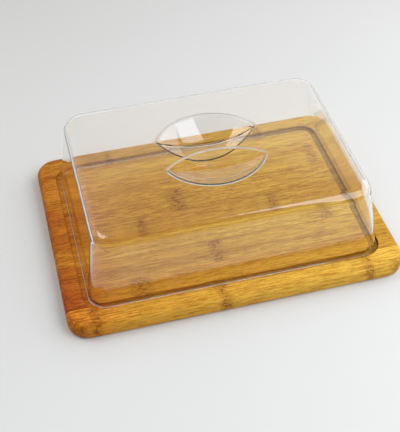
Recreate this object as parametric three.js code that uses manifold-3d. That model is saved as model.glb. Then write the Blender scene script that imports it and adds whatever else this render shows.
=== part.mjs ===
// A cheese dome: a laminated bamboo board with a routed groove, and a clear moulded cover whose
// rim stands in the groove. The cover's top is sunk as a round dish with a pinch ridge left
// across it, and that ridge is the handle.
//
// Millimetres, +Z up. The origin is the centre of the board's underside, X runs along the board's
// long side, and the staves of bamboo run along X too.

import * as THREE from 'three';
import { mergeVertices } from 'three/addons/utils/BufferGeometryUtils.js';
import Module from 'manifold-3d';

const manifold = await Module();
manifold.setup();

// ---------------------------------------------------------------- driving dimensions

// Board
const BOARD_LENGTH = 320;
const BOARD_DEPTH = 240;
const BOARD_THICKNESS = 15;
const BOARD_CORNER_RADIUS = 21;
const BOARD_TOP_EDGE_RADIUS = 5;
const BOARD_FOOT_EDGE_RADIUS = 3;

// Staves, from the back edge to the front one: their share of the board's depth
const STAVE_SHARES = [27.5, 23.5, 30.5, 33.5, 24, 23, 29, 25, 24];
const GLUE_LINE = 0.2;

// Groove: its margin runs from the board's edge to the groove's outer side.
const GROOVE_MARGIN = 17.5;
const GROOVE_WIDTH = 9;
const GROOVE_DEPTH = 3.5;
const GROOVE_CORNER_RADIUS = 20;
const GROOVE_FLOOR_RADIUS = 1.5;

// Cover: its height runs from the rim to the top's edge, and its end walls lean in the most.
const COVER_HEIGHT = 77;
const COVER_WALL = 2;
const END_DRAFT = THREE.MathUtils.degToRad(8);
const SIDE_DRAFT = THREE.MathUtils.degToRad(2);
const COVER_SHOULDER_RADIUS = 10;
const COVER_TOP_CORNER_RADIUS = 20;
const COVER_CROWN = 6;
const RIM_SEAT_GAP = 0.3;

// The groove is wider than the rim, and the cover stands off centre by these shares of its play.
const STAND_RIGHT = 0.9;
const STAND_BACK = 0.5;

// Handle
const DISH_RADIUS = 51.5;
const DISH_DEPTH = 20;
const RIDGE_WIDTH = 10.4;
const RIDGE_END_WIDTH = 41;
const RIDGE_DRAFT = THREE.MathUtils.degToRad(8);
const GATE_RADIUS = 1.5;
const GATE_HEIGHT = 0.5;

// Facets
const CORNER_STEPS = 8;
const SIDE_STEPS = 4;
const EDGE_STEPS = 4;
const SHOULDER_STEPS = 6;
const CROWN_STEPS = 7;
const DISH_STEPS = 18;
const ROUND_STEPS = 72;
const GATE_STEPS = 16;

// Cutters run past the face they cut by this much.
const CUT_PAST = 5;

// ---------------------------------------------------------------- worked-out places

const halfLength = BOARD_LENGTH / 2;
const halfDepth = BOARD_DEPTH / 2;

const groove = {
  halfX: halfLength - GROOVE_MARGIN,
  halfY: halfDepth - GROOVE_MARGIN,
  floor: BOARD_THICKNESS - GROOVE_DEPTH,
};

// The cover has its own frame, with its rim at z 0, and its rim runs along the groove's middle.
const rim = {
  halfX: groove.halfX - (GROOVE_WIDTH - COVER_WALL) / 2,
  halfY: groove.halfY - (GROOVE_WIDTH - COVER_WALL) / 2,
  radius: GROOVE_CORNER_RADIUS - (GROOVE_WIDTH - COVER_WALL) / 2,
};
const play = (GROOVE_WIDTH - COVER_WALL) / 2 - GROOVE_FLOOR_RADIUS;
const crownTop = COVER_HEIGHT + COVER_CROWN;
const shoulderZ = COVER_HEIGHT - COVER_SHOULDER_RADIUS;

// ---------------------------------------------------------------- solids and meshes

function toSolid(geometry) {
  const bare = geometry.clone();
  bare.deleteAttribute('normal');
  bare.deleteAttribute('uv');
  const welded = mergeVertices(bare);
  return new manifold.Manifold(new manifold.Mesh({
    numProp: 3,
    vertProperties: new Float32Array(welded.attributes.position.array),
    triVerts: new Uint32Array(welded.index.array),
  }));
}

function toGeometry(solid) {
  const mesh = solid.getMesh();
  const geometry = new THREE.BufferGeometry();
  geometry.setAttribute('position', new THREE.BufferAttribute(mesh.vertProperties, 3));
  geometry.setIndex(new THREE.BufferAttribute(mesh.triVerts, 1));
  geometry.computeVertexNormals();
  return geometry;
}

// Rings of equal length, each counter-clockwise seen from above, joined in order.
// An open stack is closed by a fan at each end; a looped one joins its last ring to its first.
function stackRings(rings, looped = false) {
  const size = rings[0].length;
  const points = rings.flat();
  const faces = [];
  const spans = looped ? rings.length : rings.length - 1;
  for (let level = 0; level < spans; level += 1) {
    const below = level * size;
    const above = ((level + 1) % rings.length) * size;
    for (let i = 0; i < size; i += 1) {
      const next = (i + 1) % size;
      faces.push(below + i, below + next, above + next);
      faces.push(below + i, above + next, above + i);
    }
  }
  if (!looped) {
    const last = (rings.length - 1) * size;
    const foot = points.push(middleOf(rings[0])) - 1;
    const head = points.push(middleOf(rings.at(-1))) - 1;
    for (let i = 0; i < size; i += 1) {
      const next = (i + 1) % size;
      faces.push(foot, next, i);
      faces.push(head, last + i, last + next);
    }
  }
  const geometry = new THREE.BufferGeometry().setFromPoints(points);
  geometry.setIndex(faces);
  return toSolid(geometry);
}

function middleOf(ring) {
  const sum = ring.reduce((total, point) => total.add(point), new THREE.Vector3());
  return sum.divideScalar(ring.length);
}

// A rectangle with rounded corners, with the same number of points whatever its size
function roundedRectangle(halfX, halfY, radius, z) {
  const ring = [];
  const signs = [[1, 1], [-1, 1], [-1, -1], [1, -1]];
  signs.forEach(([signX, signY], corner) => {
    const centre = new THREE.Vector3(signX * (halfX - radius), signY * (halfY - radius), z);
    for (let step = 0; step <= CORNER_STEPS; step += 1) {
      const angle = (corner + step / CORNER_STEPS) * Math.PI / 2;
      const out = new THREE.Vector3(Math.cos(angle), Math.sin(angle), 0);
      ring.push(centre.clone().addScaledVector(out, radius));
    }
    const [nextX, nextY] = signs[(corner + 1) % signs.length];
    const start = ring.at(-1);
    const turned = new THREE.Vector3(-Math.sign(signX - nextX), -Math.sign(signY - nextY), 0);
    const span = turned.x === 0 ? 2 * (halfY - radius) : 2 * (halfX - radius);
    for (let step = 1; step < SIDE_STEPS; step += 1) {
      ring.push(start.clone().addScaledVector(turned, span * step / SIDE_STEPS));
    }
  });
  return ring;
}

function box(low, high) {
  const size = new THREE.Vector3().subVectors(high, low);
  const geometry = new THREE.BoxGeometry(size.x, size.y, size.z);
  geometry.translate(...new THREE.Vector3().addVectors(low, high).multiplyScalar(0.5));
  return toSolid(geometry);
}

// ---------------------------------------------------------------- board

// Quarter of a circle as pairs of inset and rise, from the flat face to the upright one
function edgeArc(radius) {
  const arc = [];
  for (let step = 0; step <= EDGE_STEPS; step += 1) {
    const angle = (step / EDGE_STEPS) * Math.PI / 2;
    arc.push([radius * (1 - Math.sin(angle)), radius * (1 - Math.cos(angle))]);
  }
  return arc;
}

function boardRing(inset, z) {
  return roundedRectangle(halfLength - inset, halfDepth - inset, BOARD_CORNER_RADIUS - inset, z);
}

function boardBlank() {
  const foot = edgeArc(BOARD_FOOT_EDGE_RADIUS).map(([inset, rise]) => boardRing(inset, rise));
  const top = edgeArc(BOARD_TOP_EDGE_RADIUS).reverse()
    .map(([inset, rise]) => boardRing(inset, BOARD_THICKNESS - rise));
  return stackRings([...foot, ...top]);
}

// The groove's section, going round it: down the outer side, over the floor, up the inner side
function grooveCutter() {
  const open = BOARD_THICKNESS + CUT_PAST;
  const outerFoot = [];
  const innerFoot = [];
  for (let step = 0; step <= EDGE_STEPS; step += 1) {
    const angle = (step / EDGE_STEPS) * Math.PI / 2;
    const inset = GROOVE_FLOOR_RADIUS * (1 - Math.cos(angle));
    const z = groove.floor + GROOVE_FLOOR_RADIUS * (1 - Math.sin(angle));
    outerFoot.push([inset, z]);
    innerFoot.unshift([GROOVE_WIDTH - inset, z]);
  }
  const section = [[0, open], ...outerFoot, ...innerFoot, [GROOVE_WIDTH, open]];
  const rings = section.map(([inset, z]) => roundedRectangle(
    groove.halfX - inset,
    groove.halfY - inset,
    GROOVE_CORNER_RADIUS - inset,
    z,
  ));
  return stackRings(rings.reverse(), true);
}

function buildStaves() {
  const board = boardBlank().subtract(grooveCutter());
  const total = STAVE_SHARES.reduce((sum, share) => sum + share, 0);
  let back = halfDepth;
  return STAVE_SHARES.map((share, index) => {
    const front = back - BOARD_DEPTH * share / total;
    const isFirst = index === 0;
    const isLast = index === STAVE_SHARES.length - 1;
    const low = new THREE.Vector3(
      -halfLength - CUT_PAST,
      isLast ? -halfDepth - CUT_PAST : front + GLUE_LINE / 2,
      -CUT_PAST,
    );
    const high = new THREE.Vector3(
      halfLength + CUT_PAST,
      isFirst ? halfDepth + CUT_PAST : back - GLUE_LINE / 2,
      BOARD_THICKNESS + CUT_PAST,
    );
    back = front;
    return board.intersect(box(low, high));
  });
}

// ---------------------------------------------------------------- cover

// How far one skin of a wall stands in from the rim's outline at height z. The skin lies `inside`
// millimetres in from the outer one, leans by `draft`, and turns over a round shoulder.
function wallInset(z, draft, inside) {
  const shoulder = COVER_SHOULDER_RADIUS - inside;
  const leaning = (level) => inside / Math.cos(draft) + level * Math.tan(draft);
  const tangentZ = shoulderZ + shoulder * Math.sin(draft);
  if (z <= tangentZ) {
    return leaning(z);
  }
  const chord = Math.sqrt(Math.max(0, shoulder ** 2 - (z - shoulderZ) ** 2));
  return leaning(tangentZ) + shoulder * Math.cos(draft) - chord;
}

function coverRing(z, inside) {
  const insetX = wallInset(z, END_DRAFT, inside);
  const insetY = wallInset(z, SIDE_DRAFT, inside);
  const turned = insetX - inside / Math.cos(END_DRAFT) - z * Math.tan(END_DRAFT);
  const corner = THREE.MathUtils.mapLinear(
    Math.min(z, shoulderZ),
    0,
    shoulderZ,
    rim.radius,
    COVER_TOP_CORNER_RADIUS,
  );
  const radius = corner - inside - Math.max(0, turned);
  return roundedRectangle(rim.halfX - insetX, rim.halfY - insetY, radius, z);
}

// One skin of the cover; `reach` takes its foot below the rim.
function coverSkin(inside, reach) {
  const shoulder = COVER_SHOULDER_RADIUS - inside;
  const top = COVER_HEIGHT - inside;
  const rings = [coverRing(-reach, inside)];
  for (let step = 0; step <= SHOULDER_STEPS; step += 1) {
    const angle = THREE.MathUtils.lerp(SIDE_DRAFT, Math.PI / 2, step / SHOULDER_STEPS);
    rings.push(coverRing(shoulderZ + shoulder * Math.sin(angle), inside));
  }

  // The crown: the last ring drawn in towards the middle, easing into an ellipse as it rises
  const edge = rings.at(-1);
  const spanX = Math.max(...edge.map((point) => point.x));
  const spanY = Math.max(...edge.map((point) => point.y));
  for (let step = 1; step < CROWN_STEPS; step += 1) {
    const reachOut = 1 - step / CROWN_STEPS;
    rings.push(edge.map((point) => {
      const angle = Math.atan2(point.y / spanY, point.x / spanX);
      const round = new THREE.Vector3(spanX * Math.cos(angle), spanY * Math.sin(angle), top);
      const drawn = round.lerp(point, reachOut).multiplyScalar(reachOut);
      drawn.z = top + COVER_CROWN * (1 - reachOut ** 2);
      return drawn;
    }));
  }
  return stackRings(rings);
}

// The crown's height where the dish's lip crosses the cover's middle
const topHalfDepth = rim.halfY - wallInset(COVER_HEIGHT, SIDE_DRAFT, 0);
const lipZ = COVER_HEIGHT + COVER_CROWN * (1 - (DISH_RADIUS / topHalfDepth) ** 2);

// A ball whose lowest cap is the dish; `growth` moves its skin outwards.
function dishBall(growth) {
  const ballRadius = (DISH_RADIUS ** 2 + DISH_DEPTH ** 2) / (2 * DISH_DEPTH);
  const radius = ballRadius + growth;
  const profile = [];
  for (let step = 0; step <= DISH_STEPS; step += 1) {
    const angle = -Math.PI / 2 + (step / DISH_STEPS) * Math.PI;
    const onAxis = step === 0 || step === DISH_STEPS;
    profile.push(new THREE.Vector2(onAxis ? 0 : radius * Math.cos(angle), radius * Math.sin(angle)));
  }
  const geometry = new THREE.LatheGeometry(profile, ROUND_STEPS);
  geometry.rotateX(Math.PI / 2);
  geometry.translate(0, 0, lipZ - DISH_DEPTH + ballRadius);
  return toSolid(geometry);
}

// A tapered drum whose side is one face of the ridge; it is `side` +1 behind the ridge, -1 in front.
// Its radius makes the ridge as wide as it should be at its middle and at the dish's edge.
function ridgeDrum(side, growth) {
  const endHalf = RIDGE_END_WIDTH / 2;
  const bulge = endHalf - RIDGE_WIDTH / 2;
  const halfChord = Math.sqrt(DISH_RADIUS ** 2 - endHalf ** 2);
  const lipRadius = (halfChord ** 2 + bulge ** 2) / (2 * bulge);
  const low = lipZ - DISH_DEPTH - CUT_PAST;
  const high = crownTop + CUT_PAST;
  const radiusAt = (z) => lipRadius + (z - lipZ) * Math.tan(RIDGE_DRAFT)
    + growth / Math.cos(RIDGE_DRAFT);
  const geometry = new THREE.CylinderGeometry(
    radiusAt(high),
    radiusAt(low),
    high - low,
    2 * ROUND_STEPS,
  );
  geometry.rotateX(Math.PI / 2);
  geometry.translate(0, side * (RIDGE_WIDTH / 2 + lipRadius), (low + high) / 2);
  return toSolid(geometry);
}

function fingerPits(growth) {
  const ball = dishBall(growth);
  return ball.intersect(ridgeDrum(1, growth)).add(ball.intersect(ridgeDrum(-1, growth)));
}

function gateMark() {
  const sunk = COVER_WALL / 2;
  const geometry = new THREE.CylinderGeometry(
    GATE_RADIUS,
    GATE_RADIUS,
    sunk + GATE_HEIGHT,
    GATE_STEPS,
  );
  geometry.rotateX(Math.PI / 2);
  geometry.translate(0, 0, crownTop + (GATE_HEIGHT - sunk) / 2);
  return toSolid(geometry);
}

function buildCover() {
  const outside = coverSkin(0, 0).subtract(fingerPits(0));
  const inside = coverSkin(COVER_WALL, CUT_PAST).subtract(fingerPits(COVER_WALL));
  return outside.subtract(inside).add(gateMark());
}

// ---------------------------------------------------------------- materials

function bamboo(color) {
  return new THREE.MeshStandardMaterial({ color, roughness: 0.5, metalness: 0 });
}

// One tone for each stave, from the back edge to the front one
const STAVE_TONES = [
  0xbf8438, 0xb87a2e, 0xc68c3c, 0xb67a30, 0xbe8234,
  0xc9903f, 0xa5671f, 0xa9691f, 0xd29c40,
];

const clearPlastic = new THREE.MeshStandardMaterial({
  color: 0xf2f4f5,
  roughness: 0.05,
  metalness: 0,
  transparent: true,
  opacity: 0.3,
});

// ---------------------------------------------------------------- assembly

const group = new THREE.Group();

function addPart(solid, name, material) {
  const mesh = new THREE.Mesh(toGeometry(solid), material);
  mesh.name = name;
  group.add(mesh);
  return mesh;
}

buildStaves().forEach((solid, index) => {
  const tone = STAVE_TONES[index % STAVE_TONES.length];
  addPart(solid, `bamboo_stave_${index + 1}`, bamboo(tone));
});

const cover = addPart(buildCover(), 'clear_cover', clearPlastic);
cover.position.set(STAND_RIGHT * play, STAND_BACK * play, groove.floor + RIM_SEAT_GAP);

export default group;
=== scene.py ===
"""Cheese dome: nine glued bamboo staves planed into one board, and a clear moulded cover on it.

The cover's rim stands in the board's routed groove. A round dish is sunk in the cover's top, and
the ridge left across that dish is what the fingers pinch. Metres, +Z up, and X along the board.
"""

import math
from collections import namedtuple

import bpy
import numpy as np
from bpy.props import FloatProperty, FloatVectorProperty, PointerProperty
from mathutils import Matrix, Vector
from mathutils.geometry import delaunay_2d_cdt


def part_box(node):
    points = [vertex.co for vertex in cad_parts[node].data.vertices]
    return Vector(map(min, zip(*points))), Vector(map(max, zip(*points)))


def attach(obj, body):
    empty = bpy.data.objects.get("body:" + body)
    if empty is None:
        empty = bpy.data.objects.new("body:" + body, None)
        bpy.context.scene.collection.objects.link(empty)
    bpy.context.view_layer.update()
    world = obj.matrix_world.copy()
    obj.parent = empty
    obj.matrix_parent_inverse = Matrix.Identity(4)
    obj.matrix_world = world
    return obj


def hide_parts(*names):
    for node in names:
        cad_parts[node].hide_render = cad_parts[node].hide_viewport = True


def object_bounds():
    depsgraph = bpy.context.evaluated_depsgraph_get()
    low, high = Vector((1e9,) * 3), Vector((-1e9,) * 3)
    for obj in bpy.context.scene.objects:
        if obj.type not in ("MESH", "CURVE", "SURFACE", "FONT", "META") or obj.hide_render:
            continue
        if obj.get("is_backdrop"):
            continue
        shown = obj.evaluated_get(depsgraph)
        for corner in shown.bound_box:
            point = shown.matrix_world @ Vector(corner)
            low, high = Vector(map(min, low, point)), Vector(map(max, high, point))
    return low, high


bl_info = {
    "name": "Cheese Dome",
    "version": (1, 0, 0),
    "blender": (4, 5, 0),
    "location": "3D View > Sidebar > Cheese Dome",
    "description": "Makes a bamboo board and the clear cover that stands in its groove",
    "category": "Add Mesh",
}

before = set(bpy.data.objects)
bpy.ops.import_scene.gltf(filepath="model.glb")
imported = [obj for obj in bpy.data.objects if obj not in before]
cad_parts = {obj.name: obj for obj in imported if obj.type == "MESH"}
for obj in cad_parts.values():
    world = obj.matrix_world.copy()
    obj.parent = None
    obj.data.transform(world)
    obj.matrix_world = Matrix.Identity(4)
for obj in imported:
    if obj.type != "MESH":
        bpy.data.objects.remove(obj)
cad_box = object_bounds()

MM = 0.001
STAVE_NODES = sorted(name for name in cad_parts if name.startswith("bamboo_stave_"))
STAVE_BOXES = [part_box(name) for name in STAVE_NODES]
COVER_NODE = "clear_cover"
COVER_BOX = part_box(COVER_NODE)
BOARD_SIZE = Vector(
    max(box[1][axis] for box in STAVE_BOXES) - min(box[0][axis] for box in STAVE_BOXES)
    for axis in range(3)
)
COVER_SIZE = COVER_BOX[1] - COVER_BOX[0]


# ---------------------------------------------------------------- sizes and colours


def length(name, description, default, low=0.0, high=1.0):
    return FloatProperty(
        name=name, description=description, default=default, min=low, max=high,
        unit="LENGTH", precision=5,
    )


def angle(name, description, degrees, low=-360.0, high=360.0):
    return FloatProperty(
        name=name, description=description, default=math.radians(degrees),
        min=math.radians(low), max=math.radians(high), subtype="ANGLE",
    )


def share(name, description, default, high=1.0):
    return FloatProperty(name=name, description=description, default=default, min=0.0, max=high)


def colour(name, description, default, high=1.0):
    return FloatVectorProperty(
        name=name, description=description, default=default, size=3, min=0.0, max=high,
        subtype="COLOR",
    )


class BoardSizes(bpy.types.PropertyGroup):
    length: length("Length", "Board's long side", BOARD_SIZE.x)
    depth: length("Depth", "Board's short side", BOARD_SIZE.y)
    thickness: length("Thickness", "Board's height", BOARD_SIZE.z)
    corner_radius: length("Corner Radius", "Round of the corners in plan", 21 * MM)
    top_edge_radius: length("Top Edge Radius", "Round of the upper edge", 5 * MM)
    foot_edge_radius: length("Foot Edge Radius", "Round of the lower edge", 3 * MM)
    glue_line: length("Glue Line", "Open seam between two staves", 0.06 * MM)
    groove_margin: length("Groove Margin", "From the board's edge to the groove", 17.5 * MM)
    groove_width: length("Groove Width", "Across the groove", 9 * MM)
    groove_depth: length("Groove Depth", "From the top down to the groove's floor", 3.5 * MM)
    groove_corner_radius: length("Groove Corner Radius", "Groove's outer corners", 20 * MM)
    groove_floor_radius: length("Groove Floor Radius", "Where wall meets floor", 1.5 * MM)
    groove_lip_radius: length("Groove Lip Radius", "Worn edge along the groove", 0.5 * MM)


class BambooFinish(bpy.types.PropertyGroup):
    pale: colour("Pale", "Lightest fibres", (0.72, 0.385, 0.048))
    deep: colour("Deep", "Darkest fibres", (0.40, 0.155, 0.010))
    knuckle: colour("Knuckle", "The culm's joints", (0.24, 0.080, 0.008))
    # Ripe and young end tones: partly the bamboo's own tone, partly painted light, with shade at
    # the left end and light towards the window at the right.
    ripe_shaded_end: colour("Ripe Shaded End", "Tone of the left end", (0.86, 0.52, 0.24))
    young_lit_end: colour("Young Lit End", "Tone of the right end", (1.12, 1.28, 1.50), 2.0)
    # End grain's tone also darkens the groove as painted shade.
    end_grain_and_shade: colour("End Grain And Shade", "Tone where the fibres are cut across", (0.20, 0.13, 0.08))
    roughness: share("Roughness", "Oiled surface", 0.46)


class CoverSizes(bpy.types.PropertyGroup):
    length: length("Length", "Rim's long side", COVER_SIZE.x)
    depth: length("Depth", "Rim's short side", COVER_SIZE.y)
    gate_height: length("Gate Height", "Moulding point's rise above the crown", 0.5 * MM)
    gate_radius: length("Gate Radius", "Moulding point's size", 1.5 * MM)
    crown: length("Crown", "Rise of the top's middle above its edge", 6 * MM)
    wall: length("Wall", "Thickness of the plastic", 2 * MM)
    end_draft: angle("End Draft", "Lean of the two short walls", 8.0, 0.0, 30.0)
    side_draft: angle("Side Draft", "Lean of the two long walls", 2.0, 0.0, 30.0)
    shoulder_radius: length("Shoulder Radius", "Round between walls and top", 10 * MM)
    rim_corner_radius: length("Rim Corner Radius", "Corners in plan at the rim", 16.5 * MM)
    top_corner_radius: length("Top Corner Radius", "Corners in plan at the shoulder", 20 * MM)
    rim_edge_radius: length("Rim Edge Radius", "Round along the rim's two edges", 0.4 * MM)
    dish_radius: length("Dish Radius", "Round dish sunk in the top", 51.5 * MM)
    dish_depth: length("Dish Depth", "From the dish's lip to its floor", 20 * MM)
    ridge_width: length("Ridge Width", "Pinch ridge at its middle", 10.4 * MM)
    ridge_end_width: length("Ridge End Width", "Pinch ridge at the dish's edge", 41 * MM)
    ridge_draft: angle("Ridge Draft", "Lean of the ridge's two faces", 8.0, 1.0, 30.0)
    lip_radius: length("Lip Radius", "Round of the pits' upper edge", 1.2 * MM)
    keel_radius: length("Keel Radius", "Round where ridge meets dish floor", 0.6 * MM)
    inner_radius: length("Inner Radius", "Round of the inner skin's corners", 0.9 * MM)


class PlasticFinish(bpy.types.PropertyGroup):
    tint: colour("Tint", "Colour of the clear plastic", (0.99, 0.985, 0.975))
    lamp_tint: colour("Lamp Tint", "Light that one skin lets through", (0.95, 0.945, 0.94))
    refraction: FloatProperty(
        name="Refraction", description="Index of refraction", default=1.5, min=1.0, max=2.0
    )
    roughness: share("Roughness", "Polished mould face", 0.015)
    lip_roughness: share("Lip Roughness", "Frosting on the pits' edges and the rim's foot", 0.42)


class StudioSettings(bpy.types.PropertyGroup):
    floor: colour("Floor", "Pale sweep under the board", (0.80, 0.786, 0.748))
    # The floor's back tone is painted shade, darker away from the front.
    floor_back_shade: colour("Floor Back Shade", "Pale sweep behind the board", (0.632, 0.619, 0.588))
    room: colour("Room", "Dim walls and ceiling round the table", (0.36, 0.36, 0.36))
    backdrop: colour("Backdrop", "Bright wall behind the table", (1.0, 1.0, 0.99), 4.0)
    window: share("Window", "Brightness of the window on the right", 1.9, 20.0)
    overhead: share("Overhead", "Brightness of the long box on the right", 3.0, 20.0)
    skylight: share("Skylight", "Brightness of the small box at the back left", 3.4, 20.0)
    azimuth: angle("Azimuth", "Camera's turn round the board", -13.293)
    elevation: angle("Elevation", "Camera's height above the horizon", 43.545)
    roll: angle("Roll", "Camera's tilt about its line of sight", -1.547)
    distance: length("Distance", "From the camera to its aim", 0.9638, 0.1, 10.0)
    aim_x: length("Aim X", "Where the camera looks on the table", -0.00911, -1.0)
    aim_y: length("Aim Y", "Where the camera looks on the table", 0.00818, -1.0)
    lens: FloatProperty(
        name="Lens", description="Focal length", default=79.65, min=1.0, unit="CAMERA"
    )


class CheeseDomeSettings(bpy.types.PropertyGroup):
    board: PointerProperty(type=BoardSizes, name="Board", description="Board's sizes")
    bamboo: PointerProperty(type=BambooFinish, name="Bamboo", description="Bamboo's colours")
    cover: PointerProperty(type=CoverSizes, name="Cover", description="Cover's sizes")
    plastic: PointerProperty(type=PlasticFinish, name="Plastic", description="Clear plastic")
    studio: PointerProperty(type=StudioSettings, name="Studio", description="Floor and camera")


# ---------------------------------------------------------------- node trees


class NodeBench:
    """Adds nodes to a tree from left to right and joins them up."""

    spacing = 190
    rows = 6

    def __init__(self, tree):
        self.tree = tree
        self.placed = 0

    def add(self, kind, *values, **settings):
        """A node; values go to its inputs in order, and None leaves an input as it is."""
        node = self.tree.nodes.new(kind)
        for name, setting in settings.items():
            setattr(node, name, setting)
        for socket, value in zip([s for s in node.inputs if s.enabled], values):
            self.feed(socket, value)
        column, row = divmod(self.placed, self.rows)
        node.location = (self.spacing * column, -self.spacing * row)
        self.placed += 1
        return node

    def feed(self, socket, value):
        if value is None:
            return
        if isinstance(value, bpy.types.NodeSocket):
            self.tree.links.new(value, socket)
        else:
            socket.default_value = value

    def fill(self, node, values):
        """Feeds a node's inputs by name."""
        for name, value in values.items():
            self.feed(node.inputs[name], value)
        return node

    def math(self, operation, *values):
        return self.add("ShaderNodeMath", *values, operation=operation).outputs[0]

    def plus(self, first, second):
        return self.math("ADD", first, second)

    def minus(self, first, second):
        return self.math("SUBTRACT", first, second)

    def times(self, first, second):
        return self.math("MULTIPLY", first, second)

    def vector(self, operation, *values):
        return self.add("ShaderNodeVectorMath", *values, operation=operation).outputs[0]

    def combine(self, *values):
        return self.add("ShaderNodeCombineXYZ", *values).outputs[0]

    def split(self, vector):
        return self.add("ShaderNodeSeparateXYZ", vector).outputs

    def noise(self, vector, scale=1.0, detail=2.0, roughness=0.5):
        return self.add("ShaderNodeTexNoise", vector, scale, detail, roughness).outputs[0]

    def stretched_noise(self, vector, along, across, detail=2.0, roughness=0.5):
        """Noise with so many grains a metre along X, and so many across."""
        return self.noise(
            self.vector("MULTIPLY", vector, (along, across, across)), 1.0, detail, roughness
        )

    def ramp(self, value, low, high, start=0.0, end=1.0):
        """value mapped from low..high to start..end with soft ends."""
        node = self.add(
            "ShaderNodeMapRange", value, low, high, start, end, interpolation_type="SMOOTHSTEP"
        )
        return node.outputs[0]

    def blend(self, factor, first, second, mode="MIX"):
        node = self.add("ShaderNodeMix", data_type="RGBA", blend_type=mode)
        self.feed(node.inputs[0], factor)
        self.feed(node.inputs[6], first)
        self.feed(node.inputs[7], second)
        return node.outputs[2]


def new_group(name, kind, inputs, outputs):
    """A node group with sockets listed by type; returns its bench, its inputs and its end node."""
    tree = bpy.data.node_groups.new(name, kind)
    for in_out, sockets in (("INPUT", inputs), ("OUTPUT", outputs)):
        for socket_type, names in sockets.items():
            for socket_name in names:
                tree.interface.new_socket(
                    socket_name, in_out=in_out, socket_type="NodeSocket" + socket_type
                )
    bench = NodeBench(tree)
    start = bench.add("NodeGroupInput")
    end = bench.add("NodeGroupOutput")
    end.location = (4200, 0)
    return bench, {socket.name: socket for socket in start.outputs}, end


def place_group(bench, group, values):
    return bench.fill(bench.add("ShaderNodeGroup", node_tree=group), values).outputs


def new_material(name):
    material = bpy.data.materials.new(name)
    material.use_nodes = True
    material.node_tree.nodes.clear()
    return material, NodeBench(material.node_tree)


def finish_material(bench, shader):
    bench.fill(bench.add("ShaderNodeOutputMaterial"), {"Surface": shader.outputs[0]})


# ---------------------------------------------------------------- bamboo


# Each stave from the back of the board to the front. light and warm are its own tone; its ripe
# shade is how red and dark its left end is, partly its own tone and partly painted shade; contrast
# is how strong its grain is, and its culm's joints are so wide and lie so far along it, in
# millimetres from the board's middle.
Stave = namedtuple("Stave", "light warm ripe contrast width knuckles")
STAVES = (
    Stave(0.94, 1.00, 0.85, 1.0, 9, (-84, 79)),
    Stave(0.98, 0.98, 1.25, 0.9, 9, ()),
    Stave(1.00, 1.02, 0.95, 0.9, 12, (123,)),
    Stave(0.88, 1.08, 1.35, 1.3, 17, (-31,)),
    Stave(0.86, 1.10, 1.25, 1.0, 9, (-71, 63)),
    Stave(1.06, 0.95, 1.05, 0.9, 11, (107,)),
    Stave(0.88, 1.06, 1.70, 1.0, 14, (-9,)),
    Stave(0.83, 1.16, 2.10, 1.1, 18, (-88,)),
    Stave(1.18, 1.03, 1.05, 1.0, 10, (-135, -17, 122)),
)
KNUCKLE_PLACES = ("Knuckle Place 1", "Knuckle Place 2", "Knuckle Place 3")
NO_KNUCKLE = 9.0  # metres, far off the board


def knuckle_group():
    """Mask of one joint of the culm: a ragged band across the fibres."""
    bench, given, end = new_group(
        "Bamboo Knuckle",
        "ShaderNodeTree",
        {"Vector": ("Vector",), "Float": ("Place", "Width")},
        {"Float": ("Mask", "Flecks")},
    )
    sway = 8 * MM
    swaying = bench.stretched_noise(given["Vector"], 60.0, 110.0)
    shifted = bench.math("MULTIPLY_ADD", swaying, sway, bench.split(given["Vector"])["X"])
    centre = bench.plus(given["Place"], sway / 2)
    away = bench.math("ABSOLUTE", bench.minus(shifted, centre))
    mask = bench.ramp(bench.math("DIVIDE", away, given["Width"]), 0.15, 0.75, 1.0, 0.0)
    speckle = bench.stretched_noise(given["Vector"], 300.0, 420.0, 3.0, 0.7)
    flecks = bench.times(mask, bench.ramp(speckle, 0.50, 0.60))
    bench.fill(end, {"Mask": mask, "Flecks": flecks})
    return bench.tree


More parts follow.
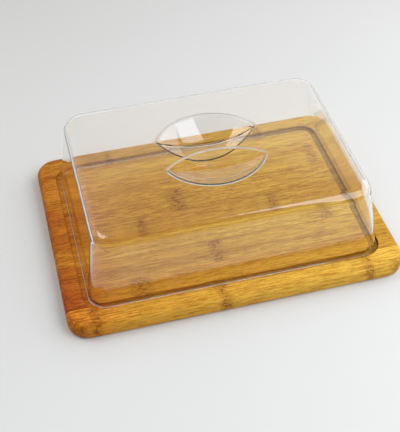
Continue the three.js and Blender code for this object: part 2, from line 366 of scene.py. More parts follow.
def grain_group(knuckle):
    """Bamboo's long fibres with their joints, cut from one solid block along X."""
    bench, given, end = new_group(
        "Bamboo Grain",
        "ShaderNodeTree",
        {
            "Vector": ("Shift",),
            "Color": ("Pale", "Deep", "Knuckle", "Ripe Shaded End", "Young Lit End", "End Grain And Shade"),
            "Float": (*KNUCKLE_PLACES, "Knuckle Width", "Contrast", "Roughness"),
        },
        {"Color": ("Color",), "Float": ("Roughness", "Height")},
    )
    spot = bench.add("ShaderNodeTexCoord").outputs["Object"]
    block = bench.vector("ADD", spot, given["Shift"])

    # The fibres waver a little from side to side along their length.
    wander = 2.2 * MM
    waver = bench.stretched_noise(block, 22.0, 30.0)
    drift = bench.times(bench.minus(waver, 0.5), wander)
    bent = bench.vector("ADD", block, bench.combine(0.0, drift, drift))
    stripes = bench.stretched_noise(bent, 2.4, 95.0, 2.0, 0.55)
    fibres = bench.stretched_noise(bent, 36.0, 620.0, 3.0, 0.7)
    threads = bench.stretched_noise(bent, 85.0, 1150.0, 2.0, 0.6)
    ripple = bench.stretched_noise(bent, 330.0, 420.0, 2.0, 0.6)
    bundles = bench.stretched_noise(bent, 70.0, 1300.0, 1.0, 0.5)

    def part(layer, weight):
        return bench.times(bench.minus(layer, 0.5), weight)

    def together(first, *others):
        total = part(*first)
        for other in others:
            total = bench.plus(total, part(*other))
        return total

    # The grain shows more towards the left end.
    along = bench.split(spot)["X"]
    ripe = bench.ramp(along, -0.175, -0.085, 1.0, 0.0)
    contrast = bench.times(given["Contrast"], bench.math("MULTIPLY_ADD", ripe, 1.1, 1.0))
    grain = together((stripes, 1.5), (fibres, 2.2), (threads, 1.8), (ripple, 0.7))
    tone = bench.math("MULTIPLY_ADD", grain, contrast, 0.55)
    tone.node.use_clamp = True
    wood = bench.blend(tone, given["Deep"], given["Pale"])

    # Short dark bundles between the fibres, and the culm's joints
    wood = bench.blend(bench.ramp(bundles, 0.58, 0.70, 0.0, 0.50), wood, given["Knuckle"])
    joints = [
        place_group(
            bench,
            knuckle,
            {"Vector": spot, "Place": given[name], "Width": given["Knuckle Width"]},
        )
        for name in KNUCKLE_PLACES
    ]

    def most(output):
        first, second, third = (joint[output] for joint in joints)
        return bench.math("MAXIMUM", bench.math("MAXIMUM", first, second), third)

    flecks = most("Flecks")
    amount = bench.math("MULTIPLY_ADD", flecks, 0.66, bench.times(most("Mask"), 0.30))
    wood = bench.blend(amount, wood, given["Knuckle"])

    # Riper, redder and darker towards the left end, younger, yellower and brighter towards the
    # right: partly the bamboo's own tone and partly painted light, shaded at the left and lit
    # towards the window on the right
    young_light = bench.ramp(along, -0.10, 0.10)
    # This attribute darkens the end grain and also paints shade into the groove.
    cut = bench.add("ShaderNodeAttribute", attribute_name="end_grain_and_shade").outputs["Fac"]
    for share_of, tint in ((ripe, "Ripe Shaded End"), (young_light, "Young Lit End"), (cut, "End Grain And Shade")):
        wood = bench.blend(share_of, wood, given[tint], "MULTIPLY")

    rough = bench.plus(part(fibres, 0.22), given["Roughness"])
    height = together((threads, 0.6), (fibres, 1.0), (ripple, 0.5))
    height = bench.minus(height, bench.times(flecks, 0.4))
    bench.fill(end, {"Color": wood, "Roughness": rough, "Height": height})
    return bench.tree


def bamboo_material(number, stave, finish, grain):
    material, bench = new_material(f"Bamboo Stave {number}")

    def toned(base):
        """A fibre's colour on this stave: a warmer one has more red and much less blue."""
        red, green, blue = (channel * stave.light for channel in base)
        red = min(1.0, red * stave.warm**0.3)
        return (red, green / stave.warm**0.7, blue / stave.warm**2, 1.0)

    places = [place * MM for place in stave.knuckles] + [NO_KNUCKLE] * len(KNUCKLE_PLACES)
    wood = place_group(
        bench,
        grain,
        {
            "Shift": (0.37 * number, 0.11 * number, 0.07 * number),
            "Pale": toned(finish.pale),
            "Deep": toned(finish.deep),
            "Knuckle": toned(finish.knuckle),
            **dict(zip(KNUCKLE_PLACES, places)),
            "Knuckle Width": stave.width * MM,
            "Contrast": stave.contrast,
            "Roughness": finish.roughness,
            "Ripe Shaded End": (*(channel**stave.ripe for channel in finish.ripe_shaded_end), 1.0),
            "Young Lit End": (*finish.young_lit_end, 1.0),
            "End Grain And Shade": (*finish.end_grain_and_shade, 1.0),
        },
    )
    bump = bench.add("ShaderNodeBump")
    bench.fill(bump, {"Strength": 0.5, "Distance": 0.12 * MM, "Height": wood["Height"]})
    shader = bench.add("ShaderNodeBsdfPrincipled")
    bench.fill(
        shader,
        {
            "Base Color": wood["Color"],
            "Roughness": wood["Roughness"],
            "Normal": bump.outputs["Normal"],
            "Specular IOR Level": 0.10,
        },
    )
    finish_material(bench, shader)
    return material


# The sizes that the stave's tree takes, each by the socket of the same name
TREE_SIZES = (
    "length", "depth", "thickness", "corner_radius", "top_edge_radius", "foot_edge_radius",
    "groove_margin", "groove_width", "groove_depth", "groove_corner_radius",
    "groove_floor_radius", "groove_lip_radius",
)
CORNER_STEPS = 16
EDGE_STEPS = 6
SHARP_EDGE = math.radians(35)
SPARE = 10 * MM  # how far the cutting slab reaches past the board


def socket_name(size):
    return size.replace("_", " ").title()


def board_section(bench, given):
    """The board's section as a curve: X is how far in from the edge, Y is the height."""
    plus, minus = bench.plus, bench.minus
    top, margin = given["Thickness"], given["Groove Margin"]
    foot_round, edge_round = given["Foot Edge Radius"], given["Top Edge Radius"]
    lip_round, floor_round = given["Groove Lip Radius"], given["Groove Floor Radius"]
    inner = plus(margin, given["Groove Width"])
    floor = minus(top, given["Groove Depth"])
    middle = bench.times(given["Depth"], 0.5)
    flat = 0.6 * MM  # kept straight beside each round
    corners = [
        (middle, 0.0, 0.0),
        (plus(foot_round, flat), 0.0, 0.0),
        (0.0, 0.0, foot_round),
        (0.0, plus(foot_round, flat), 0.0),
        (0.0, minus(minus(top, edge_round), flat), 0.0),
        (0.0, top, edge_round),
        (plus(edge_round, flat), top, 0.0),
        (minus(margin, plus(lip_round, flat)), top, 0.0),
        (margin, top, lip_round),
        (margin, floor, floor_round),
        (inner, floor, floor_round),
        (inner, top, lip_round),
        (plus(inner, plus(lip_round, flat)), top, 0.0),
        (middle, top, 0.0),
    ]
    index = bench.add("GeometryNodeInputIndex").outputs[0]
    place = bench.add("GeometryNodeIndexSwitch", data_type="VECTOR")
    round_off = bench.add("GeometryNodeIndexSwitch", data_type="FLOAT")
    for switch in (place, round_off):
        while len(switch.index_switch_items) < len(corners):
            switch.index_switch_items.new()
        bench.feed(switch.inputs["Index"], index)
    for number, (inset, height, radius) in enumerate(corners, 1):
        bench.feed(place.inputs[number], bench.combine(inset, height, 0.0))
        bench.feed(round_off.inputs[number], radius)
    line = bench.add("GeometryNodeMeshLine", len(corners)).outputs[0]
    line = bench.add("GeometryNodeSetPosition", line, None, place.outputs[0]).outputs[0]
    fillet = bench.add("GeometryNodeFilletCurve", mode="POLY")
    curve = bench.add("GeometryNodeMeshToCurve", line).outputs[0]
    radius = round_off.outputs[0]
    bench.fill(fillet, {"Curve": curve, "Count": given["Edge Steps"], "Radius": radius})
    return fillet.outputs[0]


def lofted_board(bench, given, section):
    """The section carried round the board: one row for each of its points."""
    plus, minus, times = bench.plus, bench.minus, bench.times
    size = bench.add("GeometryNodeAttributeDomainSize", section, component="CURVE")
    levels = size.outputs["Point Count"]
    quarter = plus(given["Corner Steps"], 1.0)
    round_count = times(quarter, 4.0)
    last_level = minus(levels, 1.0)
    sheet = bench.add(
        "GeometryNodeMeshGrid", last_level, round_count, levels, plus(round_count, 1.0)
    ).outputs["Mesh"]
    spot = bench.split(bench.add("GeometryNodeInputPosition").outputs[0])
    row = bench.math("ROUND", plus(spot["X"], times(last_level, 0.5)))
    column = bench.math("ROUND", plus(spot["Y"], times(round_count, 0.5)))
    column = bench.math("FLOORED_MODULO", column, round_count)
    sample = bench.add("GeometryNodeSampleIndex", data_type="FLOAT_VECTOR", domain="POINT")
    position = bench.add("GeometryNodeInputPosition").outputs[0]
    bench.fill(sample, {"Geometry": section, "Value": position, "Index": row})
    drawn = bench.split(sample.outputs[0])
    inset, height = drawn["X"], drawn["Y"]

    # Each row becomes a rounded rectangle, and the groove has a corner radius of its own.
    margin = given["Groove Margin"]
    outer_zone = bench.math("LESS_THAN", inset, times(margin, 0.5))
    edge_radius = minus(given["Corner Radius"], inset)
    groove_radius = minus(given["Groove Corner Radius"], minus(inset, margin))
    radius = plus(times(outer_zone, edge_radius), times(minus(1.0, outer_zone), groove_radius))
    radius = bench.math("MAXIMUM", radius, 0.0)
    corner = bench.math("FLOOR", bench.math("DIVIDE", column, quarter))
    step = bench.math("DIVIDE", minus(column, times(corner, quarter)), given["Corner Steps"])
    turn = times(plus(corner, step), math.pi / 2)
    facing = times(plus(corner, 0.5), math.pi / 2)

    def around(side, trig):
        reach = minus(times(side, 0.5), plus(inset, radius))
        sign = bench.math("SIGN", bench.math(trig, facing))
        return bench.math("MULTIPLY_ADD", sign, reach, times(radius, bench.math(trig, turn)))

    wrapped = bench.combine(
        around(given["Length"], "COSINE"), around(given["Depth"], "SINE"), height
    )
    board = bench.add("GeometryNodeSetPosition", sheet, None, wrapped).outputs[0]
    return bench.add("GeometryNodeMergeByDistance", board, None, 0.001 * MM).outputs[0]


def end_grain_and_shade_share(bench, given):
    """How squarely each spot faces along the fibres, plus painted shade in the groove: the groove
    is darkened a little everywhere and more in its right arm, away from the window. The end grain
    counts for less near the board's two ends and on its left half."""
    minus, times = bench.minus, bench.times
    facing = bench.split(bench.add("GeometryNodeInputNormal").outputs[0])
    here = bench.split(bench.add("GeometryNodeInputPosition").outputs[0])
    across = bench.math("ABSOLUTE", facing["X"])
    to_end = minus(times(given["Length"], 0.5), bench.math("ABSOLUTE", here["X"]))
    to_side = minus(times(given["Depth"], 0.5), bench.math("ABSOLUTE", here["Y"]))
    inward = bench.math("MINIMUM", to_end, to_side)
    margin = given["Groove Margin"]
    in_groove = bench.math("LESS_THAN", here["Z"], minus(given["Thickness"], 1.2 * MM))
    for far_in in (
        bench.math("GREATER_THAN", inward, minus(margin, 1 * MM)),
        bench.math("GREATER_THAN", here["Z"], 6 * MM),
    ):
        in_groove = times(in_groove, far_in)
    outside = bench.math("LESS_THAN", to_end, times(margin, 0.5))
    left = bench.math("LESS_THAN", here["X"], 0.0)
    for where, weaker_by in ((outside, 0.65), (left, 0.7)):
        across = times(across, minus(1.0, times(where, weaker_by)))
    # Painted shade: the groove's right arm, which faces away from the window, is darkened more.
    right = bench.math("GREATER_THAN", here["X"], 0.12)
    painted_groove_shade = bench.math("MULTIPLY_ADD", right, 0.40, 0.05)
    return bench.math("MAXIMUM", across, times(in_groove, painted_groove_shade))


def stave_tree():
    """Lofts the board from its section, groove and all, and keeps one stave of it."""
    bench, given, end = new_group(
        "Bamboo Stave",
        "GeometryNodeTree",
        {
            "Float": (*map(socket_name, TREE_SIZES), "Front", "Back"),
            "Int": ("Corner Steps", "Edge Steps"),
            "Material": ("Material",),
        },
        {"Geometry": ("Geometry",)},
    )
    board = lofted_board(bench, given, board_section(bench, given))

    # The slab between this stave's two glued faces
    reach = bench.combine(
        bench.plus(given["Length"], 2 * SPARE),
        bench.minus(given["Back"], given["Front"]),
        bench.plus(given["Thickness"], 2 * SPARE),
    )
    centre = bench.times(bench.plus(given["Back"], given["Front"]), 0.5)
    slab = bench.add(
        "GeometryNodeTransform",
        bench.add("GeometryNodeMeshCube", reach).outputs["Mesh"],
        bench.combine(0.0, centre, bench.times(given["Thickness"], 0.5)),
    ).outputs[0]
    cut = bench.add("GeometryNodeMeshBoolean", operation="INTERSECT", solver="EXACT")
    for solid in (board, slab):
        bench.tree.links.new(solid, cut.inputs["Mesh 2"])

    stave = bench.add("GeometryNodeSetShadeSmooth", cut.outputs["Mesh"], None, True, domain="FACE")
    bend = bench.add("GeometryNodeInputMeshEdgeAngle").outputs["Unsigned Angle"]
    sharp = bench.math("GREATER_THAN", bend, SHARP_EDGE)
    stave = bench.add("GeometryNodeSetShadeSmooth", stave.outputs[0], sharp, False, domain="EDGE")
    store = bench.add("GeometryNodeStoreNamedAttribute", data_type="FLOAT", domain="CORNER")
    grain_and_shade_share = end_grain_and_shade_share(bench, given)
    bench.fill(store, {"Geometry": stave.outputs[0], "Name": "end_grain_and_shade", "Value": grain_and_shade_share})
    stave = bench.add("GeometryNodeRealizeInstances", store.outputs["Geometry"]).outputs[0]
    stave = bench.add("GeometryNodeSetMaterial", stave, None, given["Material"]).outputs[0]
    bench.feed(end.inputs["Geometry"], stave)
    return bench.tree


def grown_mesh(tree, values, name):
    """Runs a Geometry Nodes tree with these inputs and returns its result as a plain object."""
    holder = bpy.data.objects.new(name, bpy.data.meshes.new(name))
    bpy.context.scene.collection.objects.link(holder)
    modifier = holder.modifiers.new(tree.name, "NODES")
    modifier.node_group = tree
    for item in tree.interface.items_tree:
        if item.item_type == "SOCKET" and item.in_out == "INPUT" and item.name in values:
            modifier[item.identifier] = values[item.name]
    bpy.context.view_layer.update()
    graph = bpy.context.evaluated_depsgraph_get()
    mesh = bpy.data.meshes.new_from_object(holder.evaluated_get(graph), depsgraph=graph)
    holder.modifiers.clear()
    holder.data = mesh
    mesh.name = name
    if not mesh.polygons:
        raise RuntimeError(f"{tree.name} made an empty mesh for {name}")
    return holder


class CHEESEDOME_OT_make_board(bpy.types.Operator):
    """Make the bamboo staves of the board"""

    bl_idname = "cheesedome.make_board"
    bl_label = "Make Board"
    bl_options = {"REGISTER", "UNDO"}

    def execute(self, context):
        sizes = context.scene.cheese_dome.board
        finish = context.scene.cheese_dome.bamboo
        grain = grain_group(knuckle_group())
        tree = stave_tree()
        past, gap = sizes.depth / 2 + SPARE, sizes.glue_line / 2
        for number, (node, stave) in enumerate(zip(STAVE_NODES, STAVES), 1):
            piece = grown_mesh(
                tree,
                {
                    **{socket_name(size): getattr(sizes, size) for size in TREE_SIZES},
                    "Front": -past if number == len(STAVES) else seam(number) + gap,
                    "Back": past if number == 1 else seam(number - 1) - gap,
                    "Corner Steps": CORNER_STEPS,
                    "Edge Steps": EDGE_STEPS,
                    "Material": bamboo_material(number, stave, finish, grain),
                },
                f"planed_stave_{number}",
            )
            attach(piece, "board")
            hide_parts(node)
        return {"FINISHED"}


def seam(number):
    """Y of the glue line between stave `number` and the next one."""
    return (STAVE_BOXES[number - 1][0].y + STAVE_BOXES[number][1].y) / 2


# ---------------------------------------------------------------- clear cover


class CoverForm:
    """The cover's two skins, in metres, in a frame whose origin is the middle of its rim."""

    corner_steps = 20
    side_spacing = 5 * MM
    rim_steps = 4
    shoulder_steps = 14
    wall_steps = 6
    inner_keel_growth = 1.2 * MM
    # A lip or a keel is looked for within this reach, and at this many points spread over a turn
    # to each side of the middle, about the dish's axis or about a drum's.
    line_reach = 8 * MM
    line_points = 150
    dish_turn = math.pi / 2 - 0.30
    drum_turn = 0.66

    def __init__(self, sizes):
        self.sizes = sizes
        self.half_x = sizes.length / 2
        self.half_y = sizes.depth / 2
        self.top = COVER_SIZE.z - sizes.gate_height - sizes.crown
        self.shoulder_z = self.top - sizes.shoulder_radius
        self.top_half_x = self.half_x - self.wall_inset(math.pi / 2, sizes.end_draft, 0.0)
        self.top_half_y = self.half_y - self.wall_inset(math.pi / 2, sizes.side_draft, 0.0)
        self.lip = self.top + sizes.crown * (1 - (sizes.dish_radius / self.top_half_y) ** 2)
        # The dish is part of a ball, and the ridge's faces are parts of two leaning drums.
        radius, depth = sizes.dish_radius, sizes.dish_depth
        self.ball = (radius**2 + depth**2) / (2 * depth)
        self.ball_z = self.lip - depth + self.ball
        end_half = sizes.ridge_end_width / 2
        bulge = end_half - sizes.ridge_width / 2
        chord = math.sqrt(radius**2 - end_half**2)
        self.drum = (chord**2 + bulge**2) / (2 * bulge)
        self.drum_y = sizes.ridge_width / 2 + self.drum
        self.slant = math.tan(sizes.ridge_draft)

    # Walls and shoulder

    def wall_inset(self, turn, draft, inside):
        """How far a skin stands in from the rim's outline where the shoulder has turned so far."""
        shoulder = self.sizes.shoulder_radius - inside
        tangent = self.shoulder_z + shoulder * math.sin(draft)
        foot = inside / math.cos(draft) + tangent * math.tan(draft)
        return foot + shoulder * (math.cos(draft) - np.cos(turn))

    def corner_radius(self, z, turned, inside):
        sizes = self.sizes
        rise = np.clip(z / self.shoulder_z, 0, 1)
        radius = sizes.rim_corner_radius + rise * (
            sizes.top_corner_radius - sizes.rim_corner_radius
        )
        return radius - inside - turned

    def outline(self, half_x, half_y, radius, z):
        """A rounded rectangle, whose halves, radius and height may change from point to point."""
        count_x = max(4, round(2 * self.half_x / self.side_spacing))
        count_y = max(4, round(2 * self.half_y / self.side_spacing))
        signs, turns, slides = [], [], []
        for corner, (sign_x, sign_y) in enumerate(((1, 1), (-1, 1), (-1, -1), (1, -1))):
            for step in range(self.corner_steps + 1):
                signs.append((sign_x, sign_y))
                turns.append((corner + step / self.corner_steps) * math.pi / 2)
                slides.append(0.0)
            count = count_x if corner % 2 == 0 else count_y
            for step in range(1, count):
                signs.append((sign_x, sign_y))
                turns.append((corner + 1) * math.pi / 2)
                slides.append(step / count)
        signs, turns, slides = np.array(signs), np.array(turns), np.array(slides)
        cos, sin = np.cos(turns), np.sin(turns)
        x = signs[:, 0] * (half_x - radius) + radius * cos
        y = signs[:, 1] * (half_y - radius) + radius * sin
        along_x = np.abs(sin) > 0.5
        x = np.where((slides > 0) & along_x, x * (1 - 2 * slides), x)
        y = np.where((slides > 0) & ~along_x, y * (1 - 2 * slides), y)
        return np.column_stack([x, y, np.broadcast_to(z, x.shape)])

    @staticmethod
    def leaned(z, draft, inside):
        """How far a skin's straight wall stands in from the rim's outline at a height."""
        return inside / math.cos(draft) + z * math.tan(draft)

    def wall_ring(self, z, inside):
        inset_x = self.leaned(z, self.sizes.end_draft, inside)
        inset_y = self.leaned(z, self.sizes.side_draft, inside)
        radius = self.corner_radius(z, 0.0, inside)
        return self.outline(self.half_x - inset_x, self.half_y - inset_y, radius, z)

    def shoulder_ring(self, turn, inside):
        """turn is the shoulder's angle at each point: from the wall's draft to the top's slope."""
        sizes = self.sizes
        inset_x = self.wall_inset(turn, sizes.end_draft, inside)
        inset_y = self.wall_inset(turn, sizes.side_draft, inside)
        z = self.shoulder_z + (sizes.shoulder_radius - inside) * np.sin(turn)
        turned = np.maximum(0.0, inset_x - self.leaned(z, sizes.end_draft, inside))
        radius = self.corner_radius(z, turned, inside)
        return self.outline(self.half_x - inset_x, self.half_y - inset_y, radius, z)

    # Top

    def crown_shares(self, x, y):
        """The crown's rise along X and along Y: one in the middle, nothing at the edge."""
        return 1 - (x / self.top_half_x) ** 2, 1 - (y / self.top_half_y) ** 2

    def crown(self, x, y):
        """The crowned top, before the dish is sunk in it."""
        share_x, share_y = self.crown_shares(x, y)
        return self.top + self.sizes.crown * share_x * share_y

    def crown_slope(self, x, y):
        """Steepness of the crown towards the edge, at points on its outline."""
        crown = self.sizes.crown
        share_x, share_y = self.crown_shares(x, y)
        slope_x = 2 * crown * np.abs(x) / self.top_half_x**2 * share_y
        slope_y = 2 * crown * np.abs(y) / self.top_half_y**2 * share_x
        return np.hypot(slope_x, slope_y)

    def gate(self, x, y):
        """The moulding point's rise over the crown."""
        spread = 0.62 * self.sizes.gate_radius
        return self.sizes.gate_height * np.exp(-(((x**2 + y**2) / spread**2) ** 2))

    def past_ball(self, x, y, z):
        return np.sqrt(x**2 + y**2 + (z - self.ball_z) ** 2) - self.ball

    def past_drum(self, x, y, z, side):
        return np.hypot(x, y - side * self.drum_y) - (self.drum + (z - self.lip) * self.slant)

    def depth_in(self, x, y, z, inside):
        """Below zero inside the plastic's outer form, above zero in the air over it."""
        sizes = self.sizes
        result = z - self.crown(x, y) + (inside if inside else -self.gate(x, y))
        ball = self.past_ball(x, y, z) - inside
        lip_round = sizes.inner_radius if inside else sizes.lip_radius
        keel_round = sizes.keel_radius + (self.inner_keel_growth if inside else 0.0)
        for side in (1, -1):
            drum = self.past_drum(x, y, z, side) * math.cos(sizes.ridge_draft) - inside
            result = rounded_both(result, -rounded_both(ball, drum, keel_round), lip_round)
        return result

    def near_lip(self, x, y, z):
        """One on the pits' upper edges, fading to nothing a few millimetres away."""
        ball = self.past_ball(x, y, z)
        above = z - self.crown(x, y)
        nearest = np.full(x.shape, 1.0)
        for side in (1, -1):
            pit = np.maximum(ball, self.past_drum(x, y, z, side))
            nearest = np.minimum(nearest, np.hypot(above, pit))
        return np.exp(-((nearest / (1.6 * self.sizes.lip_radius)) ** 2))

    def top_height(self, x, y, inside):
        """Height of the skin over each point."""
        return halved(
            lambda z: self.depth_in(x, y, z, inside) < 0,
            np.full(x.shape, self.lip - self.sizes.dish_depth - 6 * MM),
            np.full(x.shape, self.top + self.sizes.crown + 2 * MM),
            44,
        )

    def top_normal(self, x, y, z, inside):
        step = 0.004 * MM
        gradient = [
            self.depth_in(x + dx, y + dy, z + dz, inside)
            - self.depth_in(x - dx, y - dy, z - dz, inside)
            for dx, dy, dz in ((step, 0, 0), (0, step, 0), (0, 0, step))
        ]
        normal = np.column_stack(gradient)
        return normal / np.linalg.norm(normal, axis=1)[:, None]

    def feature_lines(self, inside):
        """Points in plan along the pits' lips and keels, crowded where the skin turns."""
        sizes = self.sizes
        points = []

        def crossing(falls_short, middle):
            middle = np.full(self.line_points, middle)
            return halved(falls_short, middle - self.line_reach, middle + self.line_reach, 40)

        def top_z(x, y):
            return self.crown(x, y) - inside

        def ball_z(x, y):
            left = np.maximum((self.ball + inside) ** 2 - x**2 - y**2, 0)
            return self.ball_z - np.sqrt(left)

        def drum_z(x, y, side):
            reach = np.hypot(x, y - side * self.drum_y)
            grown = self.drum + inside / math.cos(sizes.ridge_draft)
            return self.lip + (reach - grown) / self.slant

        overlap = 1.6 * MM
        spread = np.array([-2.2, -1.5, -1.05, -0.8, -0.6, -0.42, -0.28, -0.14, 0.0])
        spread = np.concatenate([spread, -spread[:-1]]) * MM
        fine = np.array([0.03, 0.06, 0.1, 0.15, 0.22, 0.32, 0.45, 0.65, 0.9, 1.2, 1.5]) * MM
        for side in (1, -1):
            # The dish's lip, as an angle about the dish's middle
            ways = np.linspace(math.pi / 2 - self.dish_turn, math.pi / 2 + self.dish_turn,
                               self.line_points)
            cos, sin = np.cos(ways), side * np.sin(ways)
            reach = crossing(
                lambda r: ball_z(r * cos, r * sin) <= top_z(r * cos, r * sin), sizes.dish_radius
            )
            x, y = reach * cos, reach * sin
            keep = drum_z(x, y, side) < top_z(x, y) + overlap
            for offset in spread:
                points.append(np.column_stack([x + offset * cos, y + offset * sin])[keep])
            # The ridge's lip and the keel, as an angle about the drum's axis
            ways = np.linspace(-self.drum_turn, self.drum_turn, self.line_points)
            sin, cos = np.sin(ways), -side * np.cos(ways)
            axis = side * self.drum_y
            for level, offsets in (
                (top_z, np.concatenate([spread[spread >= 0], -fine])),
                (ball_z, np.concatenate([fine, [0.0], -spread[spread > 0]])),
            ):
                reach = crossing(
                    lambda r: drum_z(r * sin, axis + r * cos, side)
                    <= level(r * sin, axis + r * cos),
                    self.drum + inside,
                )
                x, y = reach * sin, axis + reach * cos
                keep = ball_z(x, y) < top_z(x, y) + overlap
                for offset in offsets:
                    points.append(np.column_stack([x + offset * sin, y + offset * cos])[keep])
        return np.concatenate(points)

    def filler_points(self, inside):
        """Even points over the rest of the top: close in the dish, wide apart outside it."""
        points = []
        dish, everywhere = self.sizes.dish_radius + 6 * MM, 1.0
        for spacing, inner, outer in ((1.7 * MM, 0.0, dish), (4.5 * MM, dish, everywhere)):
            xs = np.arange(-self.half_x, self.half_x, spacing)
            ys = np.arange(-self.half_y, self.half_y, spacing * math.sqrt(3) / 2)
            grid_x, grid_y = np.meshgrid(xs, ys)
            grid_x[::2] += spacing / 2
            reach = np.hypot(grid_x, grid_y)
            keep = (reach >= inner) & (reach < outer)
            points.append(np.column_stack([grid_x[keep], grid_y[keep]]))
        if not inside:
            # Rings over the moulding point
            for ring in range(1, 9):
                around = np.linspace(0, 2 * math.pi, 20, endpoint=False) + ring * 0.1
                reach = 0.28 * MM * ring
                points.append(np.column_stack([np.cos(around), np.sin(around)]) * reach)
        return np.concatenate(points)

    def skin(self, inside):
        """Rings from the rim to the shoulder, then the top's points, faces and normals."""
        sizes = self.sizes
        foot = sizes.rim_edge_radius
        edge = self.wall_ring(0.0, inside)
        rings = []
        for step in range(self.rim_steps, 0, -1):
            lean = step / self.rim_steps * math.pi / 2
            ring = self.wall_ring(foot * (1 - math.sin(lean)), inside)
            toward = foot * (1 - math.cos(lean)) * (1 if inside else -1)
            rings.append(shifted_out(ring, edge, toward))
        rings.append(self.wall_ring(foot, inside))
        high = self.shoulder_z + (sizes.shoulder_radius - inside) * math.sin(sizes.side_draft)
        for step in range(1, self.wall_steps):
            rings.append(self.wall_ring(foot + (high - foot) * step / self.wall_steps, inside))
        last = self.shoulder_ring(np.full(1, math.pi / 2 - 0.1), inside)
        slope = np.arctan(self.crown_slope(last[:, 0], last[:, 1]))
        for step in range(self.shoulder_steps + 1):
            done = step / self.shoulder_steps
            turn = sizes.side_draft + (math.pi / 2 - slope - sizes.side_draft) * done
            rings.append(self.shoulder_ring(turn, inside))
        rim_of_top = rings.pop()
        crowded = self.feature_lines(inside)
        spare = self.filler_points(inside)
        edge = rim_of_top[:, :2]
        rows = [shifted_out(edge, edge, -step * MM) for step in (0.9, 2.0, 3.4)]
        spare = spare[inside_outline(spare, edge, 5.2 * MM)]
        spare = spare[clear_of(spare, crowded, 0.75 * MM)]
        crowded = thinned(crowded, 0.012 * MM)
        plan = np.concatenate([edge, *rows, crowded, spare])
        faces, plan = triangulated(plan, len(rim_of_top))
        x, y = plan[:, 0], plan[:, 1]
        z = self.top_height(x, y, inside)
        z[: len(rim_of_top)] = rim_of_top[:, 2]
        normals = self.top_normal(x, y, z, inside)
        return rings, np.column_stack([x, y, z]), faces, normals


def halved(falls_short, low, high, rounds):
    """Where falls_short stops being true between low and high, found by halving."""
    for _ in range(rounds):
        middle = (low + high) / 2
        short = falls_short(middle)
        low = np.where(short, middle, low)
        high = np.where(short, high, middle)
    return (low + high) / 2


def rounded_both(first, second, radius):
    """The greater of two depths, with the corner where they meet rounded."""
    over_first = np.maximum(first + radius, 0)
    over_second = np.maximum(second + radius, 0)
    return np.minimum(-radius, np.maximum(first, second)) + np.hypot(over_first, over_second)


def shifted_out(ring, outline, distance):
    """ring moved along its outline's normal in plan."""
    ahead = np.roll(outline, -1, axis=0)[:, :2] - np.roll(outline, 1, axis=0)[:, :2]
    normal = np.column_stack([ahead[:, 1], -ahead[:, 0]])
    normal /= np.linalg.norm(normal, axis=1)[:, None]
    moved = ring.copy()
    moved[:, :2] += normal * distance
    return moved


def inside_outline(points, outline, margin):
    """Which points lie within a convex outline, and at least margin away from its sides."""
    ahead = np.roll(outline, -1, axis=0) - outline
    reach = np.linalg.norm(ahead, axis=1)
    outline, ahead = outline[reach > 1e-9], ahead[reach > 1e-9]
    normal = np.column_stack([-ahead[:, 1], ahead[:, 0]])
    normal /= np.linalg.norm(normal, axis=1)[:, None]
    distance = points @ normal.T - (outline * normal).sum(1)
    return distance.min(axis=1) > margin


def clear_of(points, others, distance):
    """Which points stand at least this far from all the others."""
    clear = np.ones(len(points), bool)
    batch = 400
    for start in range(0, len(points), batch):
        gap = points[start : start + batch, None, :] - others[None, :, :]
        clear[start : start + batch] = (gap**2).sum(2).min(1) > distance**2
    return clear


def thinned(points, spacing):
    """One point for each cell of a fine grid."""
    cells = np.round(points / spacing).astype(np.int64)
    _, first = np.unique(cells, axis=0, return_index=True)
    return points[np.sort(first)]


def triangulated(plan, border):
    """Delaunay triangles inside the border, which is the first points of plan."""
    loop = list(range(border))
    per_metre, same = 1000, 1e-5  # it works in millimetres
    made = delaunay_2d_cdt([Vector(point) for point in plan * per_metre], [], [loop], 1, same)
    points, faces, came_from = made[0], made[2], made[3]
    order = np.full(len(points), -1)
    for index, sources in enumerate(came_from):
        for source in sources:
            if source < border:
                order[index] = source
    extra = np.flatnonzero(order < 0)
    order[extra] = border + np.arange(len(extra))
    plan = np.zeros((border + len(extra), 2))
    plan[order] = np.array([tuple(point) for point in points]) / per_metre
    return [tuple(int(order[i]) for i in face) for face in faces], plan


def frosting(spots, lips):
    """How worn each spot is: fully along the pits' lips, and partly along the rim's foot."""
    foot_height, foot_share = 1.4 * MM, 0.7
    above = spots[:, 2] - spots[:, 2].min()
    foot = np.exp(-((above / foot_height) ** 2))
    foot *= np.interp(spots[:, 0], (0.08, 0.12), (foot_share, 0.0))
    return np.maximum(foot, lips)


